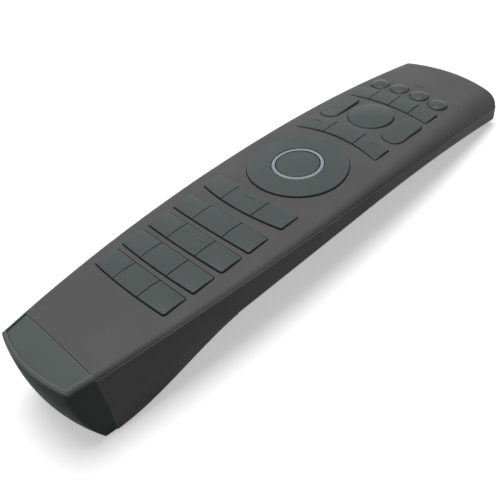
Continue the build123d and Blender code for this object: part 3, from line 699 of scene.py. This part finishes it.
class REMOTE_OT_cells(RemoteOperator, Operator):
    """Turn the two AAA cells, with their sleeve, crimped ends and stud"""

    bl_idname = "remote.cells"
    bl_label = "Cells"

    # Radius of the stud and width of the sleeve's rim on each end, in millimetres
    STUD, RIM = 1.9, 0.7

    def execute(self, context):
        colours = context.scene.remote_cells
        # Deep-drawn steel with a nickel coat: warm grey metal with a clear sheen
        nickel = plain_surface("nickel_plated_steel_can", linear("#bdbbb5"), roughness=0.24, metallic=1.0)
        for side, towards in (("left", 1), ("right", -1)):
            node = f"cell_{side}"
            low, high = box_of(deck_places(node))
            length, radius = high.y - low.y, (high.x - low.x) / 2
            base = (low + high) / 2
            base.y = low.y if towards > 0 else high.y
            along = DECK.to_3x3() @ Vector((0, towards, 0))
            start = DECK @ base
            shape = self.can(radius / MM, length / MM)
            turn = DECK.to_3x3() @ Matrix.Rotation(-towards * math.pi / 2, 3, "X")
            bmesh.ops.transform(
                shape, matrix=Matrix.Translation(start) @ turn.to_4x4(), verts=shape.verts,
            )
            sleeve = printed_sleeve(
                f"shrunk_PVC_sleeve_{side}", colours.sleeve, colours.band,
                start, along, length, colours.band_share,
            )
            made = piece_from(shape, f"{node}_turned", "tray", "cell_jacket", nickel, sleeve)
            smooth(made, math.radians(40))
            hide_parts(node)
        return {"FINISHED"}

    def can(self, radius, length):
        """Cell along Z from its dished base, with the sleeve's rims crimped over both ends, to the
        stud. The sleeve takes the second material."""
        base = [(0, 0.2), (radius - 2.0, 0.2), (radius - 1.8, 0), (radius - 1.0, 0)]
        sleeve = [
            (radius - 0.75, 0.25), (radius - 0.6, 0.12), (radius - 0.2, 0.3), (radius, 0.8),
            (radius, length - 2.3), (radius - 0.12, length - 1.75), (radius - 0.6, length - 1.35),
            (radius - 0.75, length - 1.5),
        ]
        stud = [
            (radius - 2.6, length - 1.3), (self.STUD, length - 1.2), (self.STUD, length - 0.2),
            (self.STUD - 0.2, length), (0, length),
        ]
        shape = lathe(base + sleeve + stud, 40)
        for face in shape.faces:
            centre = face.calc_center_median()
            face.material_index = int(math.hypot(centre.x, centre.y) > (radius - self.RIM) * MM)
        return shape


class REMOTE_OT_studio(RemoteOperator, Operator):
    """Make the floor, the lamp, the even sky and the camera"""

    bl_idname = "remote.studio"
    bl_label = "Studio"

    # Half the floor's side, and how far out its own glow starts and stops growing, in metres
    FLOOR, GLOW_FROM, GLOW_TO = 3.0, 0.3, 1.3
    # Strength of the glow near the remote and far from it
    GLOW_NEAR, GLOW_FAR = 0.45, 0.97
    # Place of the lamp, in metres
    LAMP = Vector((-0.07, 0.06, 0.9))
    # Width of the camera's sensor, in millimetres
    SENSOR = 36

    def execute(self, context):
        studio = context.scene.remote_studio
        self.floor()
        self.lamp(studio)
        self.sky(context, studio)
        self.camera(context, studio)
        context.scene.view_settings.view_transform = "Standard"
        return {"FINISHED"}

    def floor(self):
        """White sweep that stays white far from the lamp, throws little light back at the remote's
        sides, and is clear when seen from below."""
        shape = bmesh.new()
        bmesh.ops.create_grid(shape, x_segments=1, y_segments=1, size=self.FLOOR)
        mesh = bpy.data.meshes.new("floor")
        shape.to_mesh(mesh)
        shape.free()
        floor = stand("floor", mesh)
        made, tree = new_material("white_paper_sweep")
        path = put(tree, "ShaderNodeLightPath")
        dim = put(tree, "ShaderNodeBsdfDiffuse", {"Color": rgba(linear("#606060"))})
        pale = put(tree, "ShaderNodeBsdfDiffuse", {"Color": rgba(linear("#fbfbfb"))})
        place = put(tree, "ShaderNodeTexCoord")
        away = put(tree, "ShaderNodeVectorMath", {0: (place, "Object")}, operation="LENGTH")
        glow = put(tree, "ShaderNodeMapRange", {
            "Value": (away, "Value"), "From Min": self.GLOW_FROM, "From Max": self.GLOW_TO,
            "To Min": self.GLOW_NEAR, "To Max": self.GLOW_FAR,
        })
        lift = put(tree, "ShaderNodeEmission", {"Color": (1, 1, 1, 1), "Strength": (glow, "Result")})
        seen = put(tree, "ShaderNodeAddShader", {0: (pale, "BSDF"), 1: (lift, "Emission")})
        mirrored = put(tree, "ShaderNodeMath", {
            0: (path, "Is Glossy Ray"), 1: (path, "Is Transmission Ray"),
        }, operation="MAXIMUM")
        direct = put(tree, "ShaderNodeMath", {
            0: (path, "Is Camera Ray"), 1: (mirrored, "Value"),
        }, operation="MAXIMUM")
        mix = put(tree, "ShaderNodeMixShader", {
            "Fac": (direct, "Value"), 1: (dim, "BSDF"), 2: (seen, "Shader"),
        })
        side = put(tree, "ShaderNodeNewGeometry")
        clear = put(tree, "ShaderNodeBsdfTransparent")
        sweep = put(tree, "ShaderNodeMixShader", {
            "Fac": (side, "Backfacing"), 1: (mix, "Shader"), 2: (clear, "BSDF"),
        })
        put(tree, "ShaderNodeOutputMaterial", {"Surface": (sweep, "Shader")})
        mesh.materials.append(made)

    def lamp(self, studio):
        """Square softbox over the remote, aimed at the middle of the floor."""
        lamp = bpy.data.lights.new("overhead_softbox", "AREA")
        lamp.shape = "SQUARE"
        lamp.size = studio.softbox
        lamp.energy = studio.overhead
        holder = stand("overhead_softbox", lamp)
        holder.location = self.LAMP
        holder.rotation_euler = (-self.LAMP).to_track_quat("-Z", "Y").to_euler()

    def sky(self, context, studio):
        """Even light from all round, which the camera and reflections see as white."""
        world = bpy.data.worlds.new("studio_sky")
        world.use_nodes = True
        tree = world.node_tree
        tree.nodes.clear()
        path = put(tree, "ShaderNodeLightPath")
        seen = put(tree, "ShaderNodeMath", {
            0: (path, "Is Camera Ray"), 1: (path, "Is Glossy Ray"),
        }, operation="MAXIMUM")
        strength = put(tree, "ShaderNodeMapRange", {
            "Value": (seen, "Value"), "To Min": studio.sky, "To Max": 1.0,
        })
        light = put(tree, "ShaderNodeBackground", {
            "Color": (1, 1, 1, 1), "Strength": (strength, "Result"),
        })
        put(tree, "ShaderNodeOutputWorld", {"Surface": (light, "Background")})
        context.scene.world = world

    def camera(self, context, studio):
        """Camera placed and turned from the key deck."""
        lens = bpy.data.cameras.new("camera")
        lens.sensor_width = self.SENSOR
        lens.lens = studio.lens
        holder = stand("camera", lens)
        turn = (
            Matrix.Rotation(studio.azimuth, 4, "Z")
            @ Matrix.Rotation(math.pi / 2 - studio.elevation, 4, "X")
            @ Matrix.Rotation(studio.roll, 4, "Z")
        )
        holder.matrix_world = DECK @ Matrix.Translation(studio.eye) @ turn
        context.scene.camera = holder


class REMOTE_PT_panel(Panel):
    bl_idname = "REMOTE_PT_panel"
    bl_label = "Projector Remote Control"
    bl_space_type = "VIEW_3D"
    bl_region_type = "UI"
    bl_category = "Remote"

    def draw(self, context):
        scene = context.scene
        for name, _ in GROUPS:
            group = getattr(scene, name)
            box = self.layout.box()
            for key in group.bl_rna.properties.keys():
                if key not in {"rna_type", "name"}:
                    box.prop(group, key)
        for operator in PIECES:
            self.layout.operator(operator.bl_idname)


PIECES = (
    REMOTE_OT_covers,
    REMOTE_OT_keys,
    REMOTE_OT_finger_marks,
    REMOTE_OT_light_guides,
    REMOTE_OT_inner_pieces,
    REMOTE_OT_screws,
    REMOTE_OT_cells,
    REMOTE_OT_studio,
)
GROUPS = (
    ("remote_finish", RemoteFinish),
    ("remote_marks", RemoteMarks),
    ("remote_fasteners", RemoteFasteners),
    ("remote_cells", RemoteCells),
    ("remote_studio", RemoteStudio),
)


def register():
    for name, group in GROUPS:
        bpy.utils.register_class(group)
        setattr(bpy.types.Scene, name, PointerProperty(type=group))
    for made in (*PIECES, REMOTE_PT_panel):
        bpy.utils.register_class(made)


def unregister():
    for made in reversed((*PIECES, REMOTE_PT_panel)):
        bpy.utils.unregister_class(made)
    for name, group in reversed(GROUPS):
        delattr(bpy.types.Scene, name)
        bpy.utils.unregister_class(group)


def main():
    """Finish every piece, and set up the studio."""
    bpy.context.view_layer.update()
    register()
    bpy.ops.remote.covers()
    bpy.ops.remote.keys()
    bpy.ops.remote.finger_marks()
    bpy.ops.remote.light_guides()
    bpy.ops.remote.inner_pieces()
    bpy.ops.remote.screws()
    bpy.ops.remote.cells()
    bpy.ops.remote.studio()


if __name__ == "__main__":
    main()
